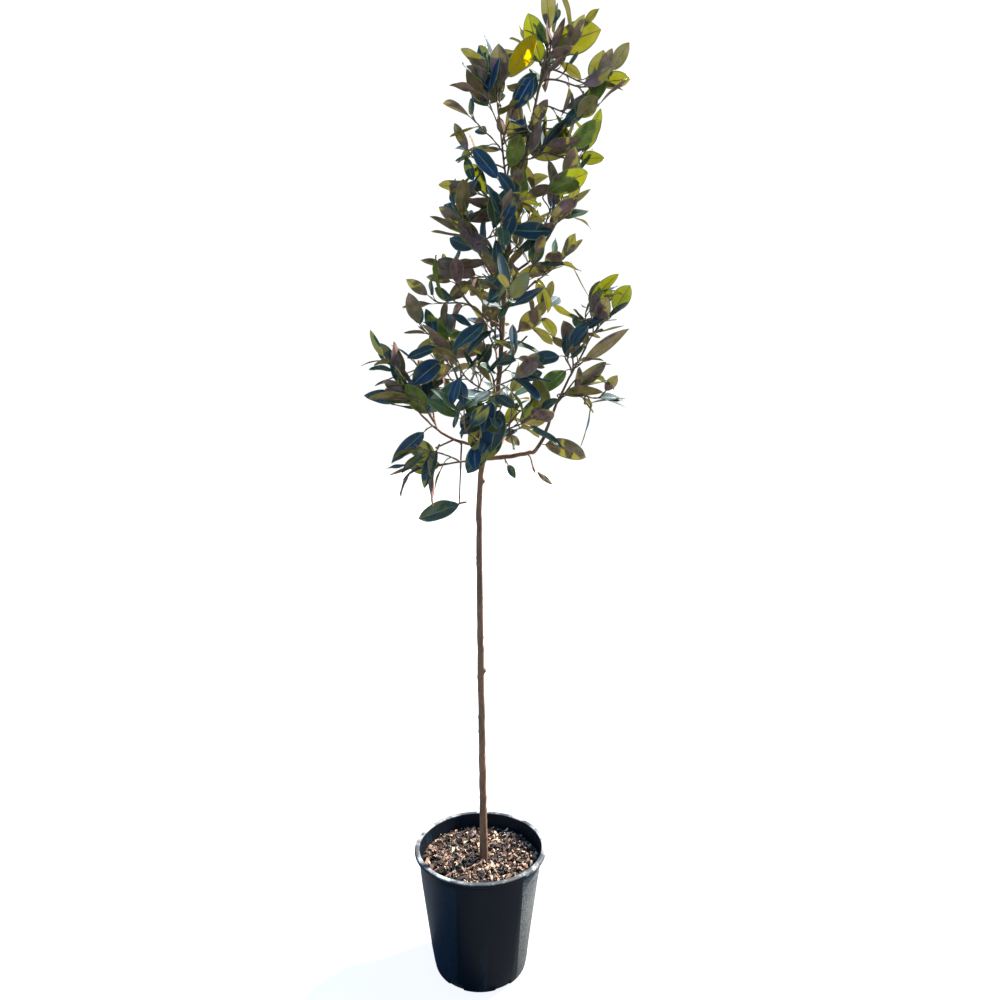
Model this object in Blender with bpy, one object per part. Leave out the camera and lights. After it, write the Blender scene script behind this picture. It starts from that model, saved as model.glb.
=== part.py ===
"""A young broad-leaved magnolia in a round nursery pot.

The tree has a bare trunk and a narrow, leaning crown. Pot, root ball, trunk, main boughs and
masses of foliage are closed solids of their own. Metres, +Z up, with the origin at the middle
of the pot's flat underside. +X is to the right and -Y is towards the viewer.
"""

import math

import bmesh
import bpy
from mathutils import Vector, noise

# Clearance between pieces that touch.
GAP = 0.0003

# Pot: a tapered vessel with a rolled lip and slots in its lower corner.
POT_HEIGHT = 0.366
POT_BASE_RADIUS = 0.139
POT_WALL_TOP_RADIUS = 0.188
POT_LIP_RADIUS = 0.200
POT_LIP_HEIGHT = 0.014
POT_LIP_ROLL = 0.004
POT_WALL = 0.003
POT_FLOOR = 0.004
POT_CORNER = 0.008
POT_SIDES = 28
DRAIN_SLOTS = 6
DRAIN_WIDTH = 0.050
DRAIN_HEIGHT = 0.022
DRAIN_HEADING = -60.0

# Root ball: potting mix that fills the pot to 47 mm under the top of the lip.
SOIL_LEVEL = 0.319
SOIL_FLAT_RADIUS = 0.050
SOIL_EDGE_ROUND = 0.004
SOIL_UNEVEN = 0.004
SOIL_NOISE_SCALE = 25.0

# Trunk stations: height, distance right of the pot's middle, distance back, radius.
TRUNK_FOOT = SOIL_LEVEL + GAP
TRUNK_STATIONS = (
    (TRUNK_FOOT, 0.010, 0.000, 0.0112),
    (0.900, 0.002, -0.004, 0.0098),
    (1.300, -0.002, 0.000, 0.0088),
    (1.480, 0.000, 0.004, 0.0082),
    (1.600, 0.020, 0.008, 0.0076),
    (1.720, 0.052, 0.010, 0.0071),
    (1.930, 0.067, 0.004, 0.0062),
    (2.140, 0.083, -0.006, 0.0052),
    (2.415, 0.132, 0.000, 0.0043),
    (2.673, 0.186, 0.006, 0.0032),
    (2.750, 0.216, 0.004, 0.0024),
)
TRUNK_SIDES = 8
TRUNK_RINGS = 24
TRUNK_RING_CROWDING = 0.35
FLARE_WIDTH = 0.0055
FLARE_HEIGHT = 0.030
FLARE_LOBES = 3
FLARE_LOBE_DEPTH = 0.3

# Masses of foliage: middle (right, back, up) and half sizes (across, deep, high).
MASSES = {
    "front_skirt_mass": ((0.012, -0.100, 1.620), (0.080, 0.070, 0.100)),
    "front_low_mass": ((0.000, -0.240, 1.725), (0.070, 0.085, 0.090)),
    "front_waist_mass": ((0.030, -0.105, 1.835), (0.080, 0.075, 0.095)),
    "front_mid_mass": ((0.058, -0.185, 1.990), (0.075, 0.075, 0.100)),
    "front_upper_mass": ((0.062, -0.140, 2.240), (0.075, 0.070, 0.105)),
    "core_mid_mass": ((0.070, -0.010, 2.090), (0.085, 0.080, 0.090)),
    "core_upper_mass": ((0.090, 0.000, 2.275), (0.080, 0.080, 0.095)),
    "core_high_mass": ((0.130, 0.000, 2.475), (0.080, 0.125, 0.105)),
    "tip_mass": ((0.207, 0.000, 2.722), (0.114, 0.085, 0.097)),
    "back_low_mass": ((0.110, 0.245, 1.710), (0.090, 0.090, 0.105)),
    "back_left_mass": ((-0.110, 0.175, 1.850), (0.080, 0.080, 0.105)),
    "back_mid_mass": ((0.040, 0.185, 2.030), (0.085, 0.080, 0.105)),
    "back_upper_mass": ((0.125, 0.150, 2.290), (0.080, 0.080, 0.105)),
    "left_arm_tip_mass": ((-0.258, 0.000, 1.785), (0.084, 0.080, 0.112)),
    "left_arm_fork_mass": ((-0.156, 0.060, 1.785), (0.062, 0.075, 0.092)),
    "left_low_mass": ((-0.184, -0.040, 1.545), (0.072, 0.065, 0.088)),
    "left_drooping_mass": ((-0.111, -0.050, 1.386), (0.068, 0.034, 0.036)),
    "left_lower_mass": ((-0.100, -0.050, 1.900), (0.078, 0.075, 0.100)),
    "left_mid_mass": ((-0.100, 0.040, 2.095), (0.072, 0.075, 0.095)),
    "left_upper_mass": ((-0.068, -0.020, 2.258), (0.074, 0.075, 0.092)),
    "left_high_mass": ((-0.026, 0.040, 2.442), (0.062, 0.075, 0.088)),
    "left_crest_mass": ((-0.028, 0.005, 2.580), (0.060, 0.066, 0.084)),
    "second_crest_mass": ((0.045, 0.045, 2.655), (0.060, 0.070, 0.096)),
    "right_inner_mass": ((0.155, -0.120, 1.730), (0.068, 0.072, 0.095)),
    "right_low_mass": ((0.255, -0.020, 1.592), (0.086, 0.055, 0.044)),
    "right_arm_low_mass": ((0.340, 0.040, 1.752), (0.094, 0.070, 0.060)),
    "right_arm_mid_mass": ((0.268, -0.065, 1.850), (0.064, 0.070, 0.085)),
    "right_arm_tip_mass": ((0.368, 0.000, 1.960), (0.082, 0.080, 0.094)),
    "right_waist_mass": ((0.180, 0.090, 1.955), (0.074, 0.075, 0.084)),
    "right_mid_mass": ((0.205, -0.040, 2.098), (0.080, 0.075, 0.088)),
    "right_shoulder_mass": ((0.248, -0.010, 2.285), (0.070, 0.080, 0.090)),
    "right_high_mass": ((0.284, 0.018, 2.478), (0.080, 0.080, 0.100)),
    "right_crest_mass": ((0.352, 0.020, 2.636), (0.074, 0.072, 0.094)),
}
MASS_SIDES = 10
MASS_RINGS = 6
MASS_UNEVEN = 0.30
MASS_NOISE_SCALE = 2.2
MASS_GAP = 0.004

# Boughs off the trunk: height there, how far out and up the limb runs before it turns,
# the mass it ends in and the radius of its foot.
BOUGHS = {
    "left_arm_bough": (1.585, 0.135, -0.030, "left_arm_tip_mass", 0.0058),
    "left_lower_bough": (1.590, 0.070, 0.080, "left_lower_mass", 0.0052),
    "left_mid_bough": (1.920, 0.110, 0.050, "left_mid_mass", 0.0045),
    "left_upper_bough": (2.010, 0.080, 0.120, "left_upper_mass", 0.0040),
    "right_inner_bough": (1.580, 0.090, 0.040, "right_inner_mass", 0.0045),
    "right_waist_bough": (1.830, 0.080, 0.050, "right_waist_mass", 0.0045),
    "right_mid_bough": (1.970, 0.090, 0.060, "right_mid_mass", 0.0042),
    "right_shoulder_bough": (2.060, 0.120, 0.050, "right_shoulder_mass", 0.0042),
    "front_skirt_bough": (1.535, 0.060, 0.020, "front_skirt_mass", 0.0045),
    "front_low_bough": (1.690, 0.130, 0.030, "front_low_mass", 0.0052),
    "front_waist_bough": (1.715, 0.070, 0.040, "front_waist_mass", 0.0045),
    "front_mid_bough": (1.860, 0.120, 0.030, "front_mid_mass", 0.0045),
    "back_low_bough": (1.550, 0.180, 0.010, "back_low_mass", 0.0055),
    "back_left_bough": (1.640, 0.140, 0.060, "back_left_mass", 0.0050),
    "back_mid_bough": (1.785, 0.120, 0.040, "back_mid_mass", 0.0048),
    "back_upper_bough": (2.080, 0.110, 0.050, "back_upper_mass", 0.0042),
    "second_leader_bough": (2.215, 0.030, 0.110, "second_crest_mass", 0.0042),
}

# The right arm runs out almost level to its knee, then turns up: two limbs, split there.
RIGHT_ARM_HEIGHT = 1.540
RIGHT_ARM_SAG = 0.012
RIGHT_ARM_KNEE = (0.178, -0.004, 1.566)
RIGHT_ARM_TURN = (0.030, 0.010, 0.140)
RIGHT_ARM_FOOT_RADIUS = 0.0068
RIGHT_ARM_KNEE_RADIUS = 0.0056

BOUGH_TIP_RADIUS = 0.0024
BOUGH_SIDES = 6
BOUGH_RINGS = 9
SOCKET_DEPTH = 0.008
SIDE_LIMB_SAG = 0.25

# Side limbs: parent bough, share of its length where they leave it, mass, foot radius.
SIDE_LIMBS = {
    "left_arm_fork_bough": ("left_arm_bough", 0.52, "left_arm_fork_mass", 0.0036),
    "left_low_bough": ("left_arm_bough", 0.34, "left_low_mass", 0.0032),
    "left_drooping_bough": ("left_arm_bough", 0.26, "left_drooping_mass", 0.0026),
}
# Where a side limb ends, if that is off the middle of its mass.
SIDE_LIMB_ENDS = {"left_drooping_bough": (-0.059, -0.050, 1.402)}


def clear_scene():
    for old in list(bpy.data.objects):
        bpy.data.objects.remove(old)


def plain_material(name, colour, roughness, metallic=0.0):
    material = bpy.data.materials.new(name)
    material.use_nodes = True
    surface = material.node_tree.nodes["Principled BSDF"]
    surface.inputs["Base Color"].default_value = (*colour, 1.0)
    surface.inputs["Roughness"].default_value = roughness
    surface.inputs["Metallic"].default_value = metallic
    return material


def pot_material():
    return plain_material("black pot plastic", (0.012, 0.018, 0.028), 0.55)


def soil_material():
    return plain_material("potting mix", (0.100, 0.060, 0.035), 0.95)


def bark_material():
    return plain_material("grey-brown bark", (0.085, 0.050, 0.038), 0.85)


def leaf_material():
    return plain_material("glossy leaves", (0.030, 0.075, 0.045), 0.40)


def solid_object(name, rings, material, first_pole=None, last_pole=None):
    """Join rings of points into one closed solid, ended by flat caps or by single points."""
    shape = bmesh.new()
    loops = [[shape.verts.new(point) for point in ring] for ring in rings]
    count = len(loops[0])
    for lower, upper in zip(loops, loops[1:]):
        for i in range(count):
            j = (i + 1) % count
            shape.faces.new((lower[i], lower[j], upper[j], upper[i]))
    for loop, pole in ((loops[0], first_pole), (loops[-1], last_pole)):
        if pole is None:
            shape.faces.new(loop)
            continue
        middle = shape.verts.new(pole)
        for i in range(count):
            shape.faces.new((loop[i], loop[(i + 1) % count], middle))
    bmesh.ops.triangulate(shape, faces=shape.faces)
    bmesh.ops.recalc_face_normals(shape, faces=shape.faces)
    mesh = bpy.data.meshes.new(name)
    shape.to_mesh(mesh)
    shape.free()
    mesh.materials.append(material)
    piece = bpy.data.objects.new(name, mesh)
    bpy.context.scene.collection.objects.link(piece)
    return piece


def cut(piece, cutters):
    """Take the cutters out of the piece, and out of the scene."""
    for cutter in cutters:
        step = piece.modifiers.new(cutter.name, "BOOLEAN")
        step.operation = "DIFFERENCE"
        step.object = cutter
    view = bpy.context.evaluated_depsgraph_get()
    trimmed = bpy.data.meshes.new_from_object(piece.evaluated_get(view))
    trimmed.name = piece.name
    piece.modifiers.clear()
    piece.data = trimmed
    for cutter in cutters:
        bpy.data.objects.remove(cutter)


def circle(radius, height, sides):
    turn = 2.0 * math.pi / sides
    return [
        Vector((radius * math.cos(i * turn), radius * math.sin(i * turn), height))
        for i in range(sides)
    ]


def pot_inner_radius(height):
    share = (height - POT_CORNER) / (POT_HEIGHT - POT_LIP_HEIGHT - POT_CORNER)
    outer = POT_BASE_RADIUS + share * (POT_WALL_TOP_RADIUS - POT_BASE_RADIUS)
    return outer - POT_WALL


def make_pot():
    lip_foot = POT_HEIGHT - POT_LIP_HEIGHT
    roll = POT_LIP_ROLL
    profile = (
        (POT_BASE_RADIUS - POT_CORNER, 0.0),
        (POT_BASE_RADIUS - 0.25 * POT_CORNER, 0.25 * POT_CORNER),
        (POT_BASE_RADIUS, POT_CORNER),
        (POT_WALL_TOP_RADIUS, lip_foot),
        (POT_LIP_RADIUS - roll, lip_foot),
        (POT_LIP_RADIUS, lip_foot + roll),
        (POT_LIP_RADIUS, POT_HEIGHT - roll),
        (POT_LIP_RADIUS - roll, POT_HEIGHT),
        (pot_inner_radius(lip_foot) + roll, POT_HEIGHT),
        (pot_inner_radius(lip_foot), POT_HEIGHT - roll),
        (pot_inner_radius(lip_foot), lip_foot),
        (pot_inner_radius(POT_FLOOR), POT_FLOOR),
    )
    rings = [circle(radius, height, POT_SIDES) for radius, height in profile]
    floor_middle = (0.0, 0.0, POT_FLOOR)
    pot = solid_object("pot", rings, pot_material(), (0.0, 0.0, 0.0), floor_middle)
    cut(pot, [drain_cutter(i) for i in range(DRAIN_SLOTS)])


def drain_cutter(index):
    """A box across the wall's lower corner, short of the root ball's foot."""
    heading = math.radians(DRAIN_HEADING + index * 360.0 / DRAIN_SLOTS)
    out = Vector((math.cos(heading), math.sin(heading), 0.0))
    side = Vector((-out.y, out.x, 0.0)) * (DRAIN_WIDTH / 2.0)
    near = POT_BASE_RADIUS - 2.0 * POT_CORNER
    far = POT_BASE_RADIUS + 2.0 * POT_CORNER
    corners = (out * near - side, out * far - side, out * far + side, out * near + side)
    up = Vector((0.0, 0.0, 1.0))
    rings = [[corner + up * level for corner in corners] for level in (-0.01, DRAIN_HEIGHT)]
    return solid_object("drain_cutter", rings, pot_material())


def make_root_ball():
    rings = []
    for height in (POT_FLOOR + GAP, SOIL_LEVEL - 2.0 * SOIL_UNEVEN):
        rings.append(circle(pot_inner_radius(height) - 2.0 * GAP, height, POT_SIDES))
    edge = pot_inner_radius(SOIL_LEVEL) - SOIL_EDGE_ROUND
    shoulder = (edge + SOIL_FLAT_RADIUS) / 2.0
    for radius in (edge, shoulder):
        ring = circle(radius, SOIL_LEVEL, POT_SIDES)
        for point in ring:
            point.z += SOIL_UNEVEN * noise.noise(point * SOIL_NOISE_SCALE)
        rings.append(ring)
    rings.append(circle(SOIL_FLAT_RADIUS, SOIL_LEVEL, POT_SIDES))
    foot_middle = (0.0, 0.0, POT_FLOOR + GAP)
    top_middle = (0.0, 0.0, SOIL_LEVEL)
    solid_object("root_ball", rings, soil_material(), foot_middle, top_middle)


def smooth_between(before, start, end, after, share):
    """A point on the smooth curve from start to end, for numbers or vectors."""
    a = 2.0 * start
    b = end - before
    c = 2.0 * before - 5.0 * start + 4.0 * end - after
    d = 3.0 * start - before - 3.0 * end + after
    return 0.5 * (a + b * share + c * share ** 2 + d * share ** 3)


def trunk_at(height):
    """The trunk's middle and its radius, flare left out, at a height."""
    last = len(TRUNK_STATIONS) - 2
    row = max(i for i in range(last + 1) if i == 0 or TRUNK_STATIONS[i][0] <= height)
    stations = [TRUNK_STATIONS[min(max(row + k, 0), last + 1)] for k in (-1, 0, 1, 2)]
    share = (height - stations[1][0]) / (stations[2][0] - stations[1][0])
    right, back, radius = (
        smooth_between(*(station[k] for station in stations), share) for k in (1, 2, 3)
    )
    return Vector((right, back, height)), radius


def limb_rings(path, radii, sides):
    """Rings square to the path, each turned as little as can be from the last."""
    rings = []
    across = Vector((1.0, 0.0, 0.0))
    for i, middle in enumerate(path):
        ahead = path[min(i + 1, len(path) - 1)] - path[max(i - 1, 0)]
        ahead.normalize()
        if i == 0 and abs(ahead.x) > 0.9:
            across = Vector((0.0, 0.0, 1.0))
        across = (across - ahead * across.dot(ahead)).normalized()
        other = ahead.cross(across)
        ring = []
        for k in range(sides):
            angle = 2.0 * math.pi * k / sides
            spoke = across * math.cos(angle) + other * math.sin(angle)
            ring.append(middle + spoke * radii[i])
        rings.append(ring)
    return rings


def trunk_rings(extra):
    """Rings up the trunk, thickened by extra and carried past the tip by as much."""
    tip = TRUNK_STATIONS[-1][0]
    path = []
    radii = []
    for i in range(TRUNK_RINGS):
        share = i / (TRUNK_RINGS - 1)
        share *= 1.0 - TRUNK_RING_CROWDING * (1.0 - share)
        height = TRUNK_FOOT + (tip - TRUNK_FOOT) * share
        middle, radius = trunk_at(height)
        path.append(middle)
        radii.append(radius + extra)
    path[-1].z += extra
    rings = limb_rings(path, radii, TRUNK_SIDES)
    # The root flare: three low swellings, and a flat cut at the top of the soil.
    for ring, middle in zip(rings, path):
        fade = math.exp(-(middle.z - TRUNK_FOOT) / FLARE_HEIGHT)
        for k, point in enumerate(ring):
            angle = 2.0 * math.pi * k / TRUNK_SIDES
            swell = FLARE_WIDTH * fade * (1.0 + FLARE_LOBE_DEPTH * math.cos(FLARE_LOBES * angle))
            point += (point - middle).normalized() * swell
    for point in rings[0]:
        point.z = TRUNK_FOOT
    return rings


def make_trunk():
    solid_object("trunk", trunk_rings(0.0), bark_material())


def trunk_cutter():
    return solid_object("trunk_cutter", trunk_rings(GAP), bark_material())


def bent_path(start, knee, end):
    """A curve that sets off towards the knee and turns to the end."""
    path = []
    for i in range(BOUGH_RINGS):
        share = i / (BOUGH_RINGS - 1)
        path.append(start * (1.0 - share) ** 2 + knee * 2.0 * share * (1.0 - share) + end * share ** 2)
    return path


def point_along(path, share):
    place = share * (len(path) - 1)
    row = min(int(place), len(path) - 2)
    return path[row].lerp(path[row + 1], place - row)


def bough_paths():
    """Middle line, foot radius, tip radius, parent and mass of every bough."""
    boughs = {}
    for name, (height, out, up, mass, radius) in BOUGHS.items():
        start, _ = trunk_at(height)
        end = Vector(MASSES[mass][0])
        heading = Vector((end.x - start.x, end.y - start.y, 0.0)).normalized()
        knee = start + heading * out + Vector((0.0, 0.0, up))
        boughs[name] = (bent_path(start, knee, end), radius, BOUGH_TIP_RADIUS, "trunk", mass)
    start, _ = trunk_at(RIGHT_ARM_HEIGHT)
    knee = Vector(RIGHT_ARM_KNEE)
    foot = bent_path(start, start.lerp(knee, 0.5) - Vector((0.0, 0.0, RIGHT_ARM_SAG)), knee)
    boughs["right_arm_foot_bough"] = (
        foot, RIGHT_ARM_FOOT_RADIUS, RIGHT_ARM_KNEE_RADIUS, "trunk", None,
    )
    end = Vector(MASSES["right_arm_tip_mass"][0])
    turn = knee + Vector(RIGHT_ARM_TURN)
    boughs["right_arm_bough"] = (
        bent_path(knee, turn, end), RIGHT_ARM_KNEE_RADIUS, BOUGH_TIP_RADIUS,
        "right_arm_foot_bough", "right_arm_tip_mass",
    )
    for name, (parent, share, mass, radius) in SIDE_LIMBS.items():
        start = point_along(boughs[parent][0], share)
        end = Vector(SIDE_LIMB_ENDS.get(name, MASSES[mass][0]))
        sag = Vector((0.0, 0.0, SIDE_LIMB_SAG * (end - start).length))
        knee = start.lerp(end, 0.5) - sag if end.z > start.z else start.lerp(end, 0.5)
        boughs[name] = (bent_path(start, knee, end), radius, BOUGH_TIP_RADIUS, parent, mass)
    return boughs


def mass_reach(name, direction):
    """How far a mass goes from its middle: its own uneven shape, held off its neighbours."""
    middle = Vector(MASSES[name][0])
    half = Vector(MASSES[name][1])
    plain = Vector((direction.x / half.x, direction.y / half.y, direction.z / half.z))
    order = list(MASSES).index(name)
    lumps = noise.noise(direction * MASS_NOISE_SCALE + Vector((0.0, 0.0, 3.7 * order)))
    reach = (1.0 + MASS_UNEVEN * lumps) / plain.length
    for other, (other_middle, other_half) in MASSES.items():
        if other == name:
            continue
        between = Vector(other_middle) - middle
        apart = between.length
        between.normalize()
        own = shape_reach(half, between)
        share = own / (own + shape_reach(Vector(other_half), between))
        slope = direction.dot(between)
        if slope > 0.0:
            reach = min(reach, (apart * share - MASS_GAP / 2.0) / slope)
    return reach


def shape_reach(half, direction):
    return 1.0 / Vector((direction.x / half.x, direction.y / half.y, direction.z / half.z)).length


def mass_rings(name):
    middle = Vector(MASSES[name][0])
    rings = []
    for row in range(MASS_RINGS):
        slant = math.pi * (row + 1) / (MASS_RINGS + 1)
        ring = []
        for i in range(MASS_SIDES):
            turn = 2.0 * math.pi * (i + 0.5 * (row % 2)) / MASS_SIDES
            direction = Vector((
                math.sin(slant) * math.cos(turn),
                math.sin(slant) * math.sin(turn),
                -math.cos(slant),
            ))
            ring.append(middle + direction * mass_reach(name, direction))
        rings.append(ring)
    down = Vector((0.0, 0.0, -1.0))
    low = middle + down * mass_reach(name, down)
    high = middle - down * mass_reach(name, -down)
    return rings, low, high


def make_masses():
    masses = {}
    for name in MASSES:
        rings, low, high = mass_rings(name)
        masses[name] = solid_object(name, rings, leaf_material(), low, high)
    return masses


def near(piece, cutter):
    """Whether the boxes round two objects meet."""
    boxes = []
    for item in (piece, cutter):
        points = [vertex.co for vertex in item.data.vertices]
        low = [min(point[k] for point in points) for k in range(3)]
        high = [max(point[k] for point in points) for k in range(3)]
        boxes.append((low, high))
    (low_a, high_a), (low_b, high_b) = boxes
    return all(low_a[k] < high_b[k] and low_b[k] < high_a[k] for k in range(3))


def bough_rings(path, foot_radius, tip_radius, extra):
    """Rings along a bough, thickened by extra and carried past its end by as much."""
    last = len(path) - 1
    path = path[:-1] + [path[-1] + (path[-1] - path[-2]).normalized() * extra]
    radii = [foot_radius + (tip_radius - foot_radius) * i / last + extra for i in range(last + 1)]
    return limb_rings(path, radii, BOUGH_SIDES)


def shortened(path, mass):
    """The path up to just inside its mass, where the bough ends in a socket."""
    surface = mass.data
    middle = sum((vertex.co for vertex in surface.vertices), Vector()) / len(surface.vertices)
    hit, place, _, _ = mass.ray_cast(path[0], (middle - path[0]).normalized())
    if not hit:
        return path
    enter = (place - path[0]).length + SOCKET_DEPTH
    whole = (path[-1] - path[0]).length
    share = min(1.0, enter / whole)
    return [point_along(path, share * i / (len(path) - 1)) for i in range(len(path))]


def make_boughs(masses):
    """Every bough, cut off at its parent, with a socket for it in each mass it meets."""
    boughs = bough_paths()
    for name, (path, foot_radius, tip_radius, parent, mass) in boughs.items():
        if mass:
            path = shortened(path, masses[mass])
        bough = solid_object(
            name, bough_rings(path, foot_radius, tip_radius, 0.0), bark_material(),
        )
        if parent == "trunk":
            cut(bough, [trunk_cutter()])
        else:
            rings = bough_rings(*boughs[parent][:3], GAP)
            cut(bough, [solid_object("parent_cutter", rings, bark_material())])
        for foliage in masses.values():
            rings = bough_rings(path, foot_radius, tip_radius, 1.5 * GAP)
            cutter = solid_object("socket_cutter", rings, bark_material())
            if near(foliage, cutter):
                cut(foliage, [cutter])
            else:
                bpy.data.objects.remove(cutter)


def cut_masses_round_trunk(masses):
    for foliage in masses.values():
        cutter = trunk_cutter()
        if near(foliage, cutter):
            cut(foliage, [cutter])
        else:
            bpy.data.objects.remove(cutter)


def make_tree():
    clear_scene()
    make_pot()
    make_root_ball()
    make_trunk()
    masses = make_masses()
    make_boughs(masses)
    cut_masses_round_trunk(masses)


make_tree()
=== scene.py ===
"""A young broad-leaved magnolia in a round black nursery pot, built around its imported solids.

The script follows the plant from the ground up: pot, potting mix and bark chips, trunk, boughs,
shoots, leaves and buds, then the floor, the lights and the camera.
"""

import math
import random

import bpy
from mathutils import Matrix, Vector, noise
from mathutils.bvhtree import BVHTree


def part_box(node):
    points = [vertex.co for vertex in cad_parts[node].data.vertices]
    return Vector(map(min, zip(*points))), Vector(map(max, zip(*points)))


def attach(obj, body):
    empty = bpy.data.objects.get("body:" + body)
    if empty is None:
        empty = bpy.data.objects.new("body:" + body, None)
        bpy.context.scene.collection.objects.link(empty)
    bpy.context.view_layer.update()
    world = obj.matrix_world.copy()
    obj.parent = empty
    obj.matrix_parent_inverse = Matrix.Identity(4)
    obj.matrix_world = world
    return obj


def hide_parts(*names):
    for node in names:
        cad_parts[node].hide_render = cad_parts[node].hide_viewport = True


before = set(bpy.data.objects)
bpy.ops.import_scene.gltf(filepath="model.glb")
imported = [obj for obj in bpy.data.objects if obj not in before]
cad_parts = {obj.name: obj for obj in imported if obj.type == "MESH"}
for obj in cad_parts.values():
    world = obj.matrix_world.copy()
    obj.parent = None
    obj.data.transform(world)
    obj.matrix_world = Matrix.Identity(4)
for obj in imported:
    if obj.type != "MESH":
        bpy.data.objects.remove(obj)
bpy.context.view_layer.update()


# The pot is one moulding of black plastic: a tapered wall with faint flat panels, a rolled lip,
# dusty and greyed by knocks, and slots in its lower corner to let water out. Its colour also
# carries painted light: a painted highlight on the lip, painted sunlight on the sunlit side and a
# painted sky reflection on the shady side. It is turned here as a profile, then dented, creased
# and slotted.

class Port:
    """A node's output. Arithmetic on it adds Math nodes to the same material."""

    def __init__(self, socket):
        self.socket = socket

    def maths(self, operation, first, second):
        tree = self.socket.id_data
        node = tree.nodes.new("ShaderNodeMath")
        node.operation = operation
        for slot, value in zip(node.inputs, (first, second)):
            plug(tree, slot, value)
        return Port(node.outputs[0])

    def __add__(self, other):
        return self.maths("ADD", self, other)

    def __rsub__(self, other):
        return self.maths("SUBTRACT", other, self)

    def __mul__(self, other):
        return self.maths("MULTIPLY", self, other)

    __radd__ = __add__
    __rmul__ = __mul__


def plug(tree, slot, value):
    """Feed a socket from a port, or set it to a plain value."""
    if isinstance(value, Port):
        tree.links.new(value.socket, slot)
    else:
        slot.default_value = value


class Nodes:
    """A tree of shader nodes, emptied and then built node by node."""

    def __init__(self, owner):
        owner.use_nodes = True
        self.tree = owner.node_tree
        self.tree.nodes.clear()

    def node(self, kind, settings=None, output=0, **sockets):
        """Add a node: its settings first, then values or links for its sockets."""
        made = self.tree.nodes.new(kind)
        for name, value in (settings or {}).items():
            if name == "stops":
                set_stops(made.color_ramp, value)
            else:
                setattr(made, name, value)
        for name, value in sockets.items():
            key = int(name[1:]) if name[1:].isdigit() else name.replace("_", " ")
            plug(self.tree, made.inputs[key], value)
        return Port(made.outputs[output]) if made.outputs else None


class Finish(Nodes):
    """A material that ends in a Principled surface."""

    def __init__(self, name):
        self.material = bpy.data.materials.new(name)
        super().__init__(self.material)

    def place(self, scale):
        """Coordinates in the plant's own frame, in units of 1 / scale metres."""
        spot = self.node("ShaderNodeTexCoord", output=3)
        return self.node("ShaderNodeVectorMath", {"operation": "MULTIPLY"}, i0=spot, i1=scale)

    def cloud(self, scale, detail=3.0, roughness=0.55, stretch=(1.0, 1.0, 1.0)):
        """Soft noise from 0 to 1. Stretch makes it longer along an axis when under 1."""
        return self.node(
            "ShaderNodeTexNoise", Vector=self.place(stretch), Scale=scale, Detail=detail,
            Roughness=roughness,
        )

    def ramp(self, value, *stops):
        """A value turned into a colour or a grey by stops of (position, colour)."""
        return self.node("ShaderNodeValToRGB", {"stops": stops}, Fac=value)

    def step(self, value, low, high):
        """0 under low, 1 over high and smooth between."""
        return self.node(
            "ShaderNodeMapRange", {"interpolation_type": "SMOOTHSTEP", "clamp": True},
            i0=value, i1=low, i2=high,
        )

    def mix(self, share, first, second):
        """Two colours mixed by a share from 0 to 1."""
        return self.node(
            "ShaderNodeMix", {"data_type": "RGBA"}, output=2, i0=share, i6=first, i7=second,
        )

    def bump(self, height, strength, distance):
        return self.node("ShaderNodeBump", Height=height, Strength=strength, Distance=distance)

    def surface(self, through=None, **sockets):
        """The Principled surface, mixed with light that comes through when that is given."""
        shader = self.node("ShaderNodeBsdfPrincipled", **sockets)
        if through:
            share, colour = through
            glow = self.node("ShaderNodeBsdfTranslucent", Color=colour)
            shader = self.node("ShaderNodeMixShader", Fac=share, i1=shader, i2=glow)
        self.node("ShaderNodeOutputMaterial", Surface=shader)
        return self.material


def set_stops(ramp, stops):
    while len(ramp.elements) < len(stops):
        ramp.elements.new(0.5)
    for element, (position, colour) in zip(ramp.elements, stops):
        element.position = position
        element.color = colour if len(colour) == 4 else (*colour, 1.0)


def tint(red, green, blue):
    """A colour given as it looks on screen, from 0 to 255, in the linear form shaders use."""
    return (*(
        part / 255 / 12.92 if part <= 10 else ((part / 255 + 0.055) / 1.055) ** 2.4
        for part in (red, green, blue)
    ), 1.0)


def shade(tone, share):
    """A tone of (red, green, blue) made darker or lighter by a share."""
    return tint(*(min(255.0, share * part) for part in tone))


def make_piece(name, points, faces, materials, slots=None, smooth=True, creases=35.0):
    """A mesh object from points and faces, with one material index for each face."""
    mesh = bpy.data.meshes.new(name)
    mesh.from_pydata(points, [], faces)
    for material in materials:
        mesh.materials.append(material)
    if slots:
        mesh.polygons.foreach_set("material_index", slots)
    if smooth:
        mesh.shade_smooth()
        if creases:
            mesh.set_sharp_from_angle(angle=math.radians(creases))
    mesh.update()
    piece = bpy.data.objects.new(name, mesh)
    bpy.context.scene.collection.objects.link(piece)
    return piece


def ride_root(piece, slot, *nodes):
    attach(piece, "root")
    if nodes:
        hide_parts(*nodes)


pot_low, pot_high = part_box("pot")
pot_top = pot_high.z
pot_lip = pot_high.x
pot_foot = 0.695 * pot_lip
pot_shoulder = 0.94 * pot_lip
lip_height = 0.014
pot_wall = 0.003
pot_sides = 168
panel_count = 6
panel_flatness = 0.20
ridge_rise = 0.07
panel_heading = math.radians(-49.0)
slot_count = 6
slot_heading = math.radians(-60.0)
slot_width = 0.050
slot_top = 0.022


def pot_wall_radius(height):
    share = height / (pot_top - lip_height)
    return pot_foot + (pot_shoulder - pot_foot) * share


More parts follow.
